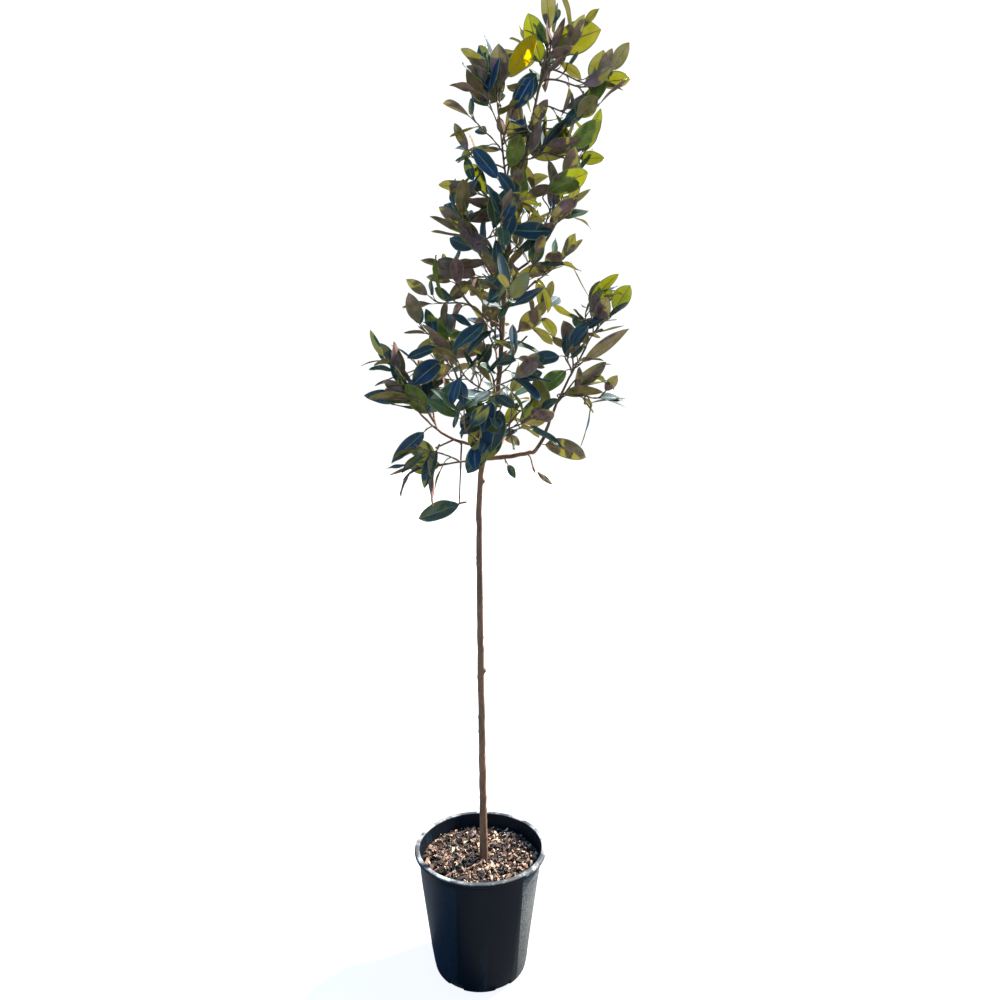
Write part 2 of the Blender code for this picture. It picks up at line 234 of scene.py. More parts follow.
def pot_profile():
    """Radius, height and how far the flat panels show, from under the foot round to the floor."""
    foot_round = 0.008
    yield pot_foot * 0.5, 0.0, 0.0
    for i in range(5):
        turn = math.radians(22.5 * i)
        round_in = foot_round * (1.0 - math.sin(turn))
        yield pot_foot - round_in, foot_round * (1.0 - math.cos(turn)), 0.0
    wall_rings = 26
    top = pot_top - lip_height
    for i in range(1, wall_rings):
        share = i / wall_rings
        height = foot_round + (top - foot_round) * share
        yield pot_wall_radius(height), height, min(1.0, 6.0 * share, 4.0 * (1.0 - share))
    yield pot_shoulder, top, 0.0
    yield pot_lip - 0.0035, top - 0.0004, 0.0
    for i in range(9):
        turn = math.radians(-90.0 + 22.5 * i)
        swell = 0.0045 * (math.cos(turn) - 1.0)
        yield pot_lip + swell, top + 0.007 + 0.0066 * math.sin(turn), 0.0
    inner = pot_shoulder - pot_wall
    yield inner + 0.004, pot_top - 0.0003, 0.0
    yield inner + 0.001, pot_top - 0.0015, 0.0
    yield inner, pot_top - 0.005, 0.0
    for i in range(1, 5):
        height = pot_top - 0.005 - (pot_top - 0.055) * i / 4
        yield pot_wall_radius(height) - pot_wall, height, 0.0
    yield pot_foot - 0.010, 0.004, 0.0


def turned_faces(rings, sides):
    """Quads between rings of points, with a flat cap at each end."""
    faces = []
    for ring in range(rings - 1):
        for i in range(sides):
            j = (i + 1) % sides
            a, b = ring * sides, (ring + 1) * sides
            faces.append((a + i, a + j, b + j, b + i))
    faces.append(list(reversed(range(sides))))
    faces.append([(rings - 1) * sides + i for i in range(sides)])
    return faces


def slot_cutter(index):
    """A block across the wall's lower corner that the drain slot is cut with."""
    heading = slot_heading + 2.0 * math.pi * index / slot_count
    out = Vector((math.cos(heading), math.sin(heading), 0.0))
    side = Vector((-out.y, out.x, 0.0)) * slot_width / 2.0
    near, far = out * (pot_foot - 0.016), out * (pot_foot + 0.016)
    points = []
    for level, inset in ((-0.01, 1.0), (slot_top - 0.006, 1.0), (slot_top, 0.8)):
        up = Vector((0.0, 0.0, level))
        for corner, reach in ((near, -1.0), (far, -1.0), (far, 1.0), (near, 1.0)):
            points.append(corner + side * reach * inset + up)
    return make_piece("slot_cutter", points, turned_faces(3, 4), [], smooth=False)


def make_pot():
    points = []
    half_panel = math.pi / panel_count
    rings = list(pot_profile())
    for radius, height, panels in rings:
        for i in range(pot_sides):
            turn = 2.0 * math.pi * i / pot_sides
            from_ridge = (turn - panel_heading) % (2.0 * half_panel) - half_panel
            inward = 1.0 - math.cos(half_panel) / math.cos(from_ridge)
            around = Vector((math.cos(turn) * 1.4, math.sin(turn) * 1.4, height * 4.0))
            dent = noise.noise(around)
            reach = radius * (1.0 + 0.005 * dent * min(1.0, height / 0.2))
            reach *= 1.0 - panels * panel_flatness * (inward - ridge_rise)
            lift = 0.0008 * dent if height > pot_top - lip_height else 0.0
            points.append((reach * math.cos(turn), reach * math.sin(turn), height + lift))
    faces = turned_faces(len(rings), pot_sides)
    pot = make_piece("nursery_pot", points, faces, [pot_plastic()], smooth=False)
    for i in range(slot_count):
        cut = pot.modifiers.new("slot", "BOOLEAN")
        cut.object = slot_cutter(i)
    view = bpy.context.evaluated_depsgraph_get()
    slotted = bpy.data.meshes.new_from_object(pot.evaluated_get(view))
    for cut in list(pot.modifiers):
        bpy.data.objects.remove(cut.object)
    pot.modifiers.clear()
    pot.data = slotted
    slotted.shade_smooth()
    slotted.set_sharp_from_angle(angle=math.radians(38.0))
    return pot


def pot_plastic():
    """Near-black plastic with a dusty lip that also carries a painted highlight. Past one ridge lies
    painted sunlight, partly dusty; past another, a painted sky reflection.
    """
    paint = Finish("black pot plastic")
    spot = paint.node("ShaderNodeTexCoord", output=3)
    normal = paint.node("ShaderNodeTexCoord", output=1)
    height = paint.node("ShaderNodeSeparateXYZ", output=2, Vector=spot)
    behind = paint.step(paint.node("ShaderNodeSeparateXYZ", output=1, Vector=spot), 0.0, 0.12)
    patches = paint.cloud(14.0, detail=6.0, roughness=0.7)
    specks = paint.cloud(190.0, detail=5.0, roughness=0.8)
    streaks = paint.cloud(26.0, detail=4.0, stretch=(1.0, 1.0, 0.08))

    def past(heading, turn, lean):
        """1 on the outside past a ridge: on its right when turn is 1, on its left when -1."""
        side = (-turn * math.sin(heading), turn * math.cos(heading), 0.0)
        across, facing = (
            paint.node("ShaderNodeVectorMath", {"operation": "DOT_PRODUCT"}, 1, i0=what, i1=side)
            for what in (spot, normal)
        )
        edge = lean * pot_top
        level = across + lean * height + 0.006 * patches
        return paint.step(level, edge + 0.002, edge + 0.007) * paint.step(facing, -0.02, 0.02)

    sunny_side = past(panel_heading, 1.0, 0.06)
    shady_side = past(panel_heading - math.radians(60.0), -1.0, 0.055)
    below_lip = 1.0 - paint.step(height, pot_top - 0.045, pot_top - 0.018)
    mottle = 0.10 + 0.90 * paint.step(specks, 0.38, 0.60)
    # Painted sunlight, partly dusty: light grey on the sunlit side, fainter low down and behind.
    painted_sunlight = sunny_side * below_lip * mottle * (1.0 - 0.6 * behind)
    painted_sunlight = painted_sunlight * (0.55 + 0.45 * paint.step(height, 0.05, 0.24))
    # The lip's pale top is dusty with a painted highlight, and it reaches lower on the sunlit side as
    # painted sunlight.
    on_lip = paint.step(height + 0.005 * sunny_side, pot_top - 0.0050, pot_top - 0.0012)
    dust_and_highlight = on_lip * (0.15 + 0.85 * paint.step(patches, 0.42, 0.60))
    scuffs = paint.step(streaks, 0.54, 0.76) * paint.step(patches, 0.42, 0.6)
    plain = paint.mix(scuffs, tint(5, 12, 20), tint(22, 34, 48))
    mud = paint.step(patches, 0.45, 0.7) * (1.0 - paint.step(height, 0.0, 0.05)) * 0.5
    splashed = paint.mix(mud, plain, tint(56, 55, 52))
    # Painted sky reflection: mottled blue-grey on the shady side below the lip.
    with_painted_sky = paint.mix(shady_side * below_lip * mottle * 0.7, splashed, tint(24, 40, 56))
    with_painted_sunlight = paint.mix(painted_sunlight, with_painted_sky, tint(128, 128, 125))
    colour = paint.mix(dust_and_highlight, with_painted_sunlight, tint(160, 161, 162))
    return paint.surface(
        Base_Color=colour, Roughness=0.48 + 0.30 * dust_and_highlight + 0.25 * painted_sunlight, Specular_IOR_Level=0.14,
        Normal=paint.bump(specks, 0.25, 0.0010),
    )


ride_root(make_pot(), "pot_plastic", "pot")


# The potting mix is dark, moist and crumbly. It fills the pot, and a loose layer of bark chips
# lies on it. Each chip is a small split slab of bark, tossed down at its own tilt.

mix_low, mix_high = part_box("root_ball")
mix_level = mix_high.z - 0.003
mix_radius = pot_wall_radius(mix_level) - pot_wall - 0.001
mix_sides = 96
chip_seed = 11
chip_count = 1500
chip_length = (0.008, 0.025)
chip_thickness = (0.0018, 0.0045)
# The near-black tone, dealt to about a third of the chips, is painted shade for the gaps between them;
# the palest tone is a painted highlight for chips the sun catches.
chip_tones = (
    (176, 144, 122), (148, 114, 92), (118, 84, 66), (70, 50, 42), (34, 25, 21), (208, 180, 154),
)
chip_shares = (5, 4, 4, 4, 11, 4)


def mix_height(x, y):
    """The top of the mix: level on the whole, with crumbs and low heaps."""
    spot = Vector((x, y, 0.0))
    return mix_level + 0.004 * noise.noise(spot * 14.0) + 0.002 * noise.noise(spot * 60.0)


def make_mix():
    rows = [(mix_low.z + 0.0005, 0.10), (mix_low.z + 0.0005, 1.0)]
    points = []
    for height, share in rows:
        radius = (pot_wall_radius(height) - pot_wall - 0.0007) * share
        for i in range(mix_sides):
            turn = 2.0 * math.pi * i / mix_sides
            points.append((radius * math.cos(turn), radius * math.sin(turn), height))
    top_rings = 30
    for ring in range(top_rings):
        radius = mix_radius * (1.0 - ring / top_rings)
        for i in range(mix_sides):
            turn = 2.0 * math.pi * i / mix_sides
            x, y = radius * math.cos(turn), radius * math.sin(turn)
            points.append((x, y, mix_height(x, y)))
    faces = turned_faces(len(rows) + top_rings, mix_sides)
    return make_piece("potting_mix", points, faces, [moist_mix()], creases=60.0)


def moist_mix():
    paint = Finish("moist potting mix")
    crumbs = paint.cloud(240.0, detail=5.0, roughness=0.75)
    damp = paint.cloud(20.0, detail=2.0)
    colour = paint.ramp(
        crumbs, (0.30, tint(14, 11, 10)), (0.60, tint(34, 25, 21)), (0.85, tint(70, 50, 38)),
    )
    grain = paint.bump(crumbs, 0.9, 0.004)
    return paint.surface(Base_Color=colour, Roughness=0.75 + 0.2 * damp, Normal=grain)


def chip_solid(length, width, thick, dice):
    """The eight corners and six faces of one split chip, thinner at one end."""
    points = []
    for across in (-0.5, 0.5):
        for along in (-0.5, 0.5):
            for up in (-0.5, 0.5):
                wedge = 1.0 - 0.45 * dice.random() * (along + 0.5)
                points.append(Vector((
                    along * length * dice.uniform(0.80, 1.15),
                    across * width * dice.uniform(0.65, 1.15),
                    up * thick * wedge + 0.08 * length * dice.uniform(-1.0, 1.0),
                )))
    faces = ((0, 1, 3, 2), (4, 6, 7, 5), (0, 4, 5, 1), (2, 3, 7, 6), (0, 2, 6, 4), (1, 5, 7, 3))
    return points, faces


def make_chips():
    dice = random.Random(chip_seed)
    points, faces, slots = [], [], []
    for _ in range(chip_count):
        reach = mix_radius * 0.97 * math.sqrt(dice.random())
        turn = dice.uniform(0.0, 2.0 * math.pi)
        x, y = reach * math.cos(turn), reach * math.sin(turn)
        length = dice.uniform(*chip_length) * (0.6 + 0.4 * dice.random())
        width = length * dice.uniform(0.25, 0.65)
        thick = dice.uniform(*chip_thickness)
        tilt = Matrix.Rotation(dice.uniform(0.0, 6.3), 3, "Z")
        tilt @= Matrix.Rotation(dice.gauss(0.0, 0.60), 3, "Y")
        tilt @= Matrix.Rotation(dice.gauss(0.0, 0.50), 3, "X")
        spot = Vector((x, y, mix_height(x, y) + 0.001 + 0.009 * dice.random() ** 1.5))
        if math.hypot(x, y) + 0.5 * length > mix_radius:
            spot.x *= 0.93
            spot.y *= 0.93
        own_points, own_faces = chip_solid(length, width, thick, dice)
        first = len(points)
        points.extend(spot + tilt @ point for point in own_points)
        faces.extend([first + k for k in face] for face in own_faces)
        slots.extend(dice.choices(range(len(chip_tones)), chip_shares) * len(own_faces))
    tones = [chip_bark(index, tone) for index, tone in enumerate(chip_tones)]
    return make_piece("bark_chips", points, faces, tones, slots, smooth=False)


def chip_bark(index, tone):
    paint = Finish(f"bark chip {index + 1}")
    grain = paint.cloud(160.0, detail=4.0, roughness=0.7)
    colour = paint.ramp(grain, (0.30, shade(tone, 0.62)), (0.62, tint(*tone)))
    return paint.surface(Base_Color=colour, Roughness=0.90, Normal=paint.bump(grain, 0.6, 0.0015))


ride_root(make_mix(), "potting_mix", "root_ball")
ride_root(make_chips(), "potting_mix")


# The trunk is one slender stem with thin, warm brown bark. It flares a little at the foot, has a
# low swelling at each old leaf scar and two knuckles where side shoots were pruned off.

pruned_knuckles = ((0.908, 0.0), (1.474, 0.15))
knuckle_size = 0.0075
scar_spacing = 0.062
scar_height = 0.0045
trunk_rings, trunk_sides = 620, 22


def limb_line(name, count):
    """The middle line and radius of a solid limb, cut into slices from its thick end."""
    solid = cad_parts[name].data
    corners = [vertex.co for vertex in solid.vertices]
    first = max(corners, key=lambda point: (point - corners[0]).length)
    last = max(corners, key=lambda point: (point - first).length)
    along = (last - first).normalized()
    whole = (last - first).length
    line = []
    for i in range(count):
        level = whole * (0.02 + 0.96 * i / (count - 1))
        crossings = []
        for edge in solid.edges:
            a, b = (corners[k] for k in edge.vertices)
            under, over = (a - first).dot(along) - level, (b - first).dot(along) - level
            if under * over < 0.0:
                crossings.append(a.lerp(b, under / (under - over)))
        if crossings:
            middle = sum(crossings, Vector()) / len(crossings)
            reaches = sorted((point - middle).length for point in crossings)
            line.append((middle, 1.02 * reaches[len(reaches) // 2]))
    third = len(line) // 3
    if sum(radius for _, radius in line[:third]) < sum(radius for _, radius in line[-third:]):
        line.reverse()
    return line


def smooth_line(line, count):
    """The same line read at even shares along a smooth curve through it."""
    fine = []
    last = len(line) - 1
    for i in range(count):
        place = last * i / (count - 1)
        row = min(int(place), last - 1)
        share = place - row
        knots = [line[min(max(row + k, 0), last)] for k in (-1, 0, 1, 2)]
        weights = (
            -0.5 * share + share ** 2 - 0.5 * share ** 3,
            1.0 - 2.5 * share ** 2 + 1.5 * share ** 3,
            0.5 * share + 2.0 * share ** 2 - 1.5 * share ** 3,
            -0.5 * share ** 2 + 0.5 * share ** 3,
        )
        middle = sum((knot[0] * weight for knot, weight in zip(knots, weights)), Vector())
        fine.append((middle, line[row][1] + (line[row + 1][1] - line[row][1]) * share))
    return fine


def sweep(line, sides, relief=None):
    """Points and faces of a round limb along a line of (middle, radius)."""
    points = []
    across = Vector((1.0, 0.0, 0.0))
    for i, (middle, radius) in enumerate(line):
        ahead = (line[min(i + 1, len(line) - 1)][0] - line[max(i - 1, 0)][0]).normalized()
        if i == 0 and abs(ahead.x) > 0.9:
            across = Vector((0.0, 0.0, 1.0))
        across = (across - ahead * across.dot(ahead)).normalized()
        other = ahead.cross(across)
        for k in range(sides):
            turn = 2.0 * math.pi * k / sides
            spoke = across * math.cos(turn) + other * math.sin(turn)
            reach = radius + (relief(middle, spoke, radius) if relief else 0.0)
            points.append(middle + spoke * reach)
    return points, turned_faces(len(line), sides)


def bark_relief(middle, spoke, radius):
    """Fine upright fissures, a swelling at each old scar and slow unevenness."""
    spot = middle + spoke * radius
    fine = noise.noise(Vector((spot.x * 420.0, spot.y * 420.0, spot.z * 60.0)))
    slow = noise.noise(spot * 22.0)
    scar_row = middle.z / scar_spacing + 0.35 * math.sin(3.0 * math.floor(middle.z / scar_spacing))
    from_scar = (scar_row - round(scar_row)) * scar_spacing
    side = math.cos(math.atan2(spoke.y, spoke.x) - 2.4 * round(scar_row))
    swell = math.exp(-(from_scar / scar_height) ** 2) * (0.35 + 0.65 * max(0.0, side))
    return radius * (0.045 * fine + 0.07 * slow + 0.15 * swell)


def trunk_relief(middle, spoke, radius):
    reach = bark_relief(middle, spoke, radius)
    for height, heading in pruned_knuckles:
        near = math.exp(-((middle.z - height) / knuckle_size) ** 2)
        side = spoke.x * math.cos(heading) + spoke.y * math.sin(heading)
        reach += knuckle_size * near * max(0.0, side) ** 3
    return reach


def make_trunk():
    line = limb_line("trunk", 64)
    foot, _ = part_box("trunk")
    head = line[0][0] + (line[0][0] - line[1][0])
    line.insert(0, (Vector((head.x, head.y, foot.z - 0.012)), 1.12 * line[0][1]))
    points, faces = sweep(smooth_line(line, trunk_rings), trunk_sides, trunk_relief)
    return make_piece("trunk_bark", points, faces, [limb_bark], creases=50.0)


def bark():
    paint = Finish("warm brown bark")
    broad = paint.cloud(16.0, detail=4.0, stretch=(1.0, 1.0, 0.35))
    fissures = paint.cloud(170.0, detail=5.0, roughness=0.65, stretch=(1.0, 1.0, 0.12))
    specks = paint.cloud(330.0, detail=1.0)
    ground = paint.ramp(
        broad, (0.30, tint(82, 54, 37)), (0.52, tint(116, 78, 52)), (0.75, tint(146, 104, 70)),
    )
    lined = paint.mix(paint.step(fissures, 0.50, 0.70) * 0.7, ground, tint(52, 32, 23))
    colour = paint.mix(paint.step(specks, 0.66, 0.74) * 0.6, lined, tint(180, 142, 106))
    grain = paint.bump(fissures, 0.5, 0.0012)
    return paint.surface(Base_Color=colour, Roughness=0.62 + 0.25 * fissures, Normal=grain)


limb_bark = bark()
ride_root(make_trunk(), "bark", "trunk")


# The main boughs leave the trunk all round and turn up towards the light. Each is round, tapers
# evenly and has the trunk's bark, thinner and smoother.

bough_names = sorted(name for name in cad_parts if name.endswith("_bough"))
side_limbs = ("left_arm_fork_bough", "left_low_bough", "left_drooping_bough")
bough_sunk = 0.4
bough_rings, bough_sides = 110, 12


def bough_line(name, parent):
    """A bough's line, led back into the limb that it grows from."""
    line = limb_line(name, 20)
    if name == "right_arm_bough":
        line = limb_line("right_arm_foot_bough", 12)[:-1] + line[2:]
    foot, radius = line[0]
    joint = min(parent, key=lambda spot: (spot[0] - foot).length)[0]
    line.insert(0, (joint.lerp(foot, bough_sunk), 1.15 * radius))
    line.insert(0, (joint, 1.3 * radius))
    return line


limbs = {"trunk": limb_line("trunk", 90)}
for name in bough_names:
    if name not in side_limbs and name != "right_arm_foot_bough":
        limbs[name] = bough_line(name, limbs["trunk"])
for name in side_limbs:
    limbs[name] = bough_line(name, limbs["left_arm_bough"])


def bough_relief(middle, spoke, radius):
    return 0.8 * bark_relief(middle, spoke, radius)


def joined(parts):
    """Several (points, faces) pairs as one."""
    points, faces = [], []
    for own_points, own_faces in parts:
        first = len(points)
        points.extend(own_points)
        faces.extend([first + k for k in face] for face in own_faces)
    return points, faces


def make_boughs():
    parts = []
    for name, line in limbs.items():
        if name != "trunk":
            parts.append(sweep(smooth_line(line, bough_rings), bough_sides, bough_relief))
    points, faces = joined(parts)
    return make_piece("bough_bark", points, faces, [limb_bark], creases=50.0)


ride_root(make_boughs(), "bark", *bough_names)


# Leafy shoots grow on from the limbs. A seeded rule picks a tip for each inside its mass of
# foliage and leads a curved twig there from a limb, or from the mass's first shoot. Leaves sit on
# it in a spiral, close at the tip and wider below, upright high in the crown and drooping low.

crown_seed = 1030
leaf_turn = math.radians(137.5)
shoots_per_litre = 1.30
leaves_per_shoot = (6, 8)
shoot_reach = 0.12
lowest_joint = 1.515
tip_depth = (0.015, 0.070)
first_gap, last_gap = 0.009, 0.030
twig_ring_gap, twig_sides = 0.008, 8
petiole_length = (0.016, 0.028)
blade_length = (0.074, 0.126)
blade_ratio = (0.39, 0.54)
crown_foot, crown_height = 1.36, 1.46
hanging = {"left_low_mass": 0.9, "front_skirt_mass": 0.8, "front_low_mass": 0.6}
neighbour_gap = 0.16
tip_tries, leaf_tries = 24, 7
least_score = -0.018

# Leaves that stand clear at the crown's edge are placed one by one. Each row names the leaf's mass,
# then has where its blade starts and ends, its width, its lean in degrees and its rows in
# top_tones and under_tones. Nothing else grows in the lone masses.
# The tone rows follow how lit each leaf looks: darker, less see-through tones go to leaves that look
# shaded, painted shade, and paler, more see-through ones to leaves that look sunlit, painted sunlight.
lone_masses = ("left_drooping_mass", "right_low_mass")
lone_leaves = (
    ("left_drooping", (-0.056, -0.05, 1.41), (-0.173, -0.054, 1.366), 0.062, 135, 0, 1),
    ("right_low", (0.19, -0.01, 1.58), (0.315, -0.02, 1.561), 0.062, 37, 2, 0),
    ("front_skirt", (0.082, -0.006, 1.522), (0.105, -0.011, 1.482), 0.024, 158, 0, 1),
    ("front_skirt", (0.167, -0.01, 1.503), (0.21, -0.016, 1.46), 0.016, 337, 0, 0),
    ("tip", (0.174, 0.0, 2.654), (0.14, -0.01, 2.775), 0.07, 15, 3, 3),
    ("tip", (0.207, -0.01, 2.689), (0.338, -0.03, 2.726), 0.082, 35, 3, 2),
    ("tip", (0.211, 0.0, 2.733), (0.224, 0.0, 2.813), 0.05, 105, 0, 0),
    ("right_crest", (0.341, 0.02, 2.591), (0.343, 0.02, 2.69), 0.071, 15, 3, 0),
    ("right_crest", (0.379, 0.03, 2.649), (0.423, 0.04, 2.728), 0.042, 30, 2, 0),
    ("right_crest", (0.342, 0.0, 2.543), (0.414, 0.0, 2.614), 0.044, 100, 1, 0),
    ("second_crest", (0.084, -0.05, 2.596), (0.158, -0.07, 2.685), 0.055, 10, 4, 4),
    ("second_crest", (0.05, 0.02, 2.556), (-0.039, -0.02, 2.633), 0.077, 10, 0, 0),
    ("second_crest", (0.042, 0.04, 2.621), (0.013, 0.06, 2.762), 0.054, 128, 0, 1),
    ("second_crest", (0.062, 0.0, 2.595), (0.053, -0.03, 2.691), 0.056, 12, 2, 1),
    ("right_high", (0.259, -0.02, 2.417), (0.349, -0.03, 2.48), 0.055, 35, 3, 3),
    ("right_crest", (0.275, -0.02, 2.496), (0.333, -0.04, 2.54), 0.052, 32, 3, 2),
    ("right_shoulder", (0.196, -0.04, 2.284), (0.302, -0.06, 2.341), 0.063, 30, 3, 3),
    ("left_high", (0.051, -0.03, 2.326), (-0.013, -0.06, 2.4), 0.049, 165, 1, 0),
    ("left_low", (-0.159, -0.04, 1.616), (-0.244, -0.07, 1.534), 0.049, 160, 1, 0),
    ("left_low", (-0.122, -0.04, 1.565), (-0.169, -0.06, 1.459), 0.049, 150, 0, 1),
    ("left_arm_tip", (-0.223, 0.0, 1.71), (-0.333, -0.02, 1.728), 0.05, 140, 1, 0),
    ("left_arm_tip", (-0.115, 0.0, 1.819), (-0.196, -0.03, 1.762), 0.067, 160, 1, 0),
    ("left_arm_tip", (-0.065, -0.02, 1.734), (-0.157, -0.05, 1.686), 0.055, 155, 1, 1),
    ("left_arm_tip", (-0.234, 0.0, 1.791), (-0.263, 0.0, 1.851), 0.032, 15, 0, 1),
    ("left_arm_tip", (-0.246, 0.0, 1.791), (-0.313, -0.03, 1.81), 0.044, 108, 0, 0),
    ("left_arm_tip", (-0.197, 0.03, 1.826), (-0.255, 0.03, 1.884), 0.045, 100, 1, 0),
    ("right_arm_tip", (0.339, -0.02, 1.933), (0.331, -0.03, 2.012), 0.044, 10, 1, 1),
    ("right_arm_tip", (0.388, 0.0, 1.965), (0.43, 0.0, 2.038), 0.056, 20, 3, 3),
    ("right_arm_tip", (0.375, 0.03, 1.991), (0.357, 0.03, 2.06), 0.039, 25, 3, 3),
    ("right_arm_tip", (0.279, -0.03, 1.83), (0.239, -0.05, 1.938), 0.049, 15, 0, 1),
    ("right_arm_tip", (0.299, -0.01, 1.818), (0.428, -0.02, 1.913), 0.05, 35, 1, 1),
    ("right_arm_low", (0.277, 0.0, 1.75), (0.381, -0.02, 1.805), 0.05, 30, 0, 0),
    ("right_arm_low", (0.242, 0.0, 1.727), (0.356, 0.0, 1.742), 0.044, 42, 2, 2),
    ("right_arm_low", (0.324, 0.02, 1.703), (0.428, 0.03, 1.724), 0.039, 98, 0, 0),
    ("right_inner", (0.156, -0.1, 1.763), (0.18, -0.12, 1.655), 0.059, 25, 2, 2),
    ("front_skirt", (0.059, -0.16, 1.671), (0.027, -0.18, 1.559), 0.076, 160, 1, 0),
    ("front_skirt", (0.026, -0.12, 1.592), (-0.034, -0.14, 1.504), 0.061, 155, 0, 0),
)


class Mass:
    """One mass of foliage: its solid, for inside tests, and what grows in it."""

    def __init__(self, name):
        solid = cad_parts[name].data
        self.name = name
        self.low, self.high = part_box(name)
        self.tree = BVHTree.FromPolygons(
            [vertex.co for vertex in solid.vertices], [tuple(face.vertices) for face in solid.polygons]
        )
        self.centre = sum((vertex.co for vertex in solid.vertices), Vector()) / len(solid.vertices)
        self.height = (self.centre.z - crown_foot) / crown_height
        litres = 0.0
        for face in solid.polygons:
            corners = [solid.vertices[k].co for k in face.vertices]
            for a, b in zip(corners[1:], corners[2:]):
                litres += corners[0].dot(a.cross(b)) / 6.0 * 1000.0
        self.shoot_count = 0 if name in lone_masses else max(1, round(litres * shoots_per_litre))
        self.droop = hanging.get(name, max(0.0, 0.50 - 0.85 * self.height))

    def gap(self, other):
        """The widest gap between the boxes of two masses along any axis."""
        return max(max(a, b) for a, b in zip(self.low - other.high, other.low - self.high))

    def depth(self, point):
        """How deep a point lies under the surface; negative outside."""
        for low, value, high in zip(self.low, point, self.high):
            if not low - 0.03 < value < high + 0.03:
                return -0.03
        spot, normal, _, distance = self.tree.find_nearest(point)
        return -distance if (point - spot).dot(normal) > 0.0 else distance


masses = {name: Mass(name) for name in sorted(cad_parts) if name.endswith("_mass")}
for mass in masses.values():
    mass.near = [other for other in masses.values() if mass.gap(other) < neighbour_gap]


def crown_depth(point, near):
    return max(mass.depth(point) for mass in near)


limb_spots = []
for name, line in limbs.items():
    if name != "left_drooping_bough":
        limb_spots.extend(spot for spot in smooth_line(line, 70) if spot[0].z > lowest_joint)


class Shoot:
    """A twig from a limb to its tip, as a curve with a direction at each place."""

    def __init__(self, dice, tip, growth, spots, reach=shoot_reach):
        self.tip = tip
        self.foot, limb_radius = min(spots, key=lambda spot: self.pull(spot, tip, growth, reach))
        way = tip - self.foot
        reach = max(0.006, way.length)
        leave = (way.normalized() + growth * 0.5 + Vector((0.0, 0.0, 0.15))).normalized()
        self.knots = (self.foot, self.foot + leave * reach * 0.36, tip - growth * reach * 0.36, tip)
        self.length = reach * 1.06
        self.tip_radius = dice.uniform(0.0017, 0.0021)
        self.foot_radius = min(0.9 * limb_radius, self.tip_radius + 0.008 * self.length)
        self.bend = Vector(dice.gauss(0.0, 0.004) for _ in range(3))

    @staticmethod
    def pull(spot, tip, growth, reach):
        """How ill a place suits as the foot: too far, too close, level with the tip or over it."""
        way = tip - spot[0]
        close = max(0.0, reach - way.length)
        level = max(0.0, 0.5 * reach - way.dot(growth))
        return way.length + 2.2 * close + 1.5 * level + 1.5 * max(0.0, -way.z)

    def place(self, share):
        a, b, c, d = self.knots
        rest = 1.0 - share
        point = a * rest ** 3 + b * 3 * rest ** 2 * share + c * 3 * rest * share ** 2 + d * share ** 3
        return point + self.bend * math.sin(math.pi * share)

    def heading(self, share):
        low, high = max(0.0, share - 0.02), min(1.0, share + 0.02)
        return (self.place(high) - self.place(low)).normalized()

    def radius(self, share):
        return self.foot_radius + (self.tip_radius - self.foot_radius) * min(1.0, share * 1.1)

    def spots(self, last=0.6):
        """Places along it where side shoots can start, up to a last one."""
        shares = [last * i / 4 for i in range(5)]
        return [(self.place(share), self.radius(share)) for share in shares]


def growth_of(mass, tip, dice):
    """Which way a shoot grows: out from the trunk and up, more upright towards the top."""
    near = min(limbs["trunk"], key=lambda spot: abs(spot[0].z - tip.z))[0]
    out = Vector((tip.x - near.x, tip.y - near.y, 0.0))
    out = out.normalized() * min(1.0, 0.3 + out.length / 0.12)
    stray = Vector(dice.gauss(0.0, 0.22) for _ in range(3))
    rise = 0.35 + 1.7 * max(0.0, mass.height)
    return (out + stray + Vector((0.0, 0.0, rise))).normalized()


def pick_tip(mass, dice, tips):
    """A tip apart from the others of its mass, under the surface, with room for leaves ahead."""
    best, best_score = (mass.centre.copy(), growth_of(mass, mass.centre, dice)), -9.0
    for _ in range(tip_tries):
        point = Vector(dice.uniform(low, high) for low, high in zip(mass.low, mass.high))
        depth = mass.depth(point)
        if depth < 0.0:
            continue
        growth = growth_of(mass, point, dice)
        room = min(((point - other).length for other in tips), default=0.08)
        off = max(0.0, tip_depth[0] - depth) + max(0.0, depth - tip_depth[1])
        ahead = min(0.0, crown_depth(point + growth * 0.06, mass.near))
        score = min(room, 0.10) - off + 0.8 * ahead + dice.uniform(0.0, 0.03)
        if score > best_score:
            best, best_score = (point, growth), score
    return best


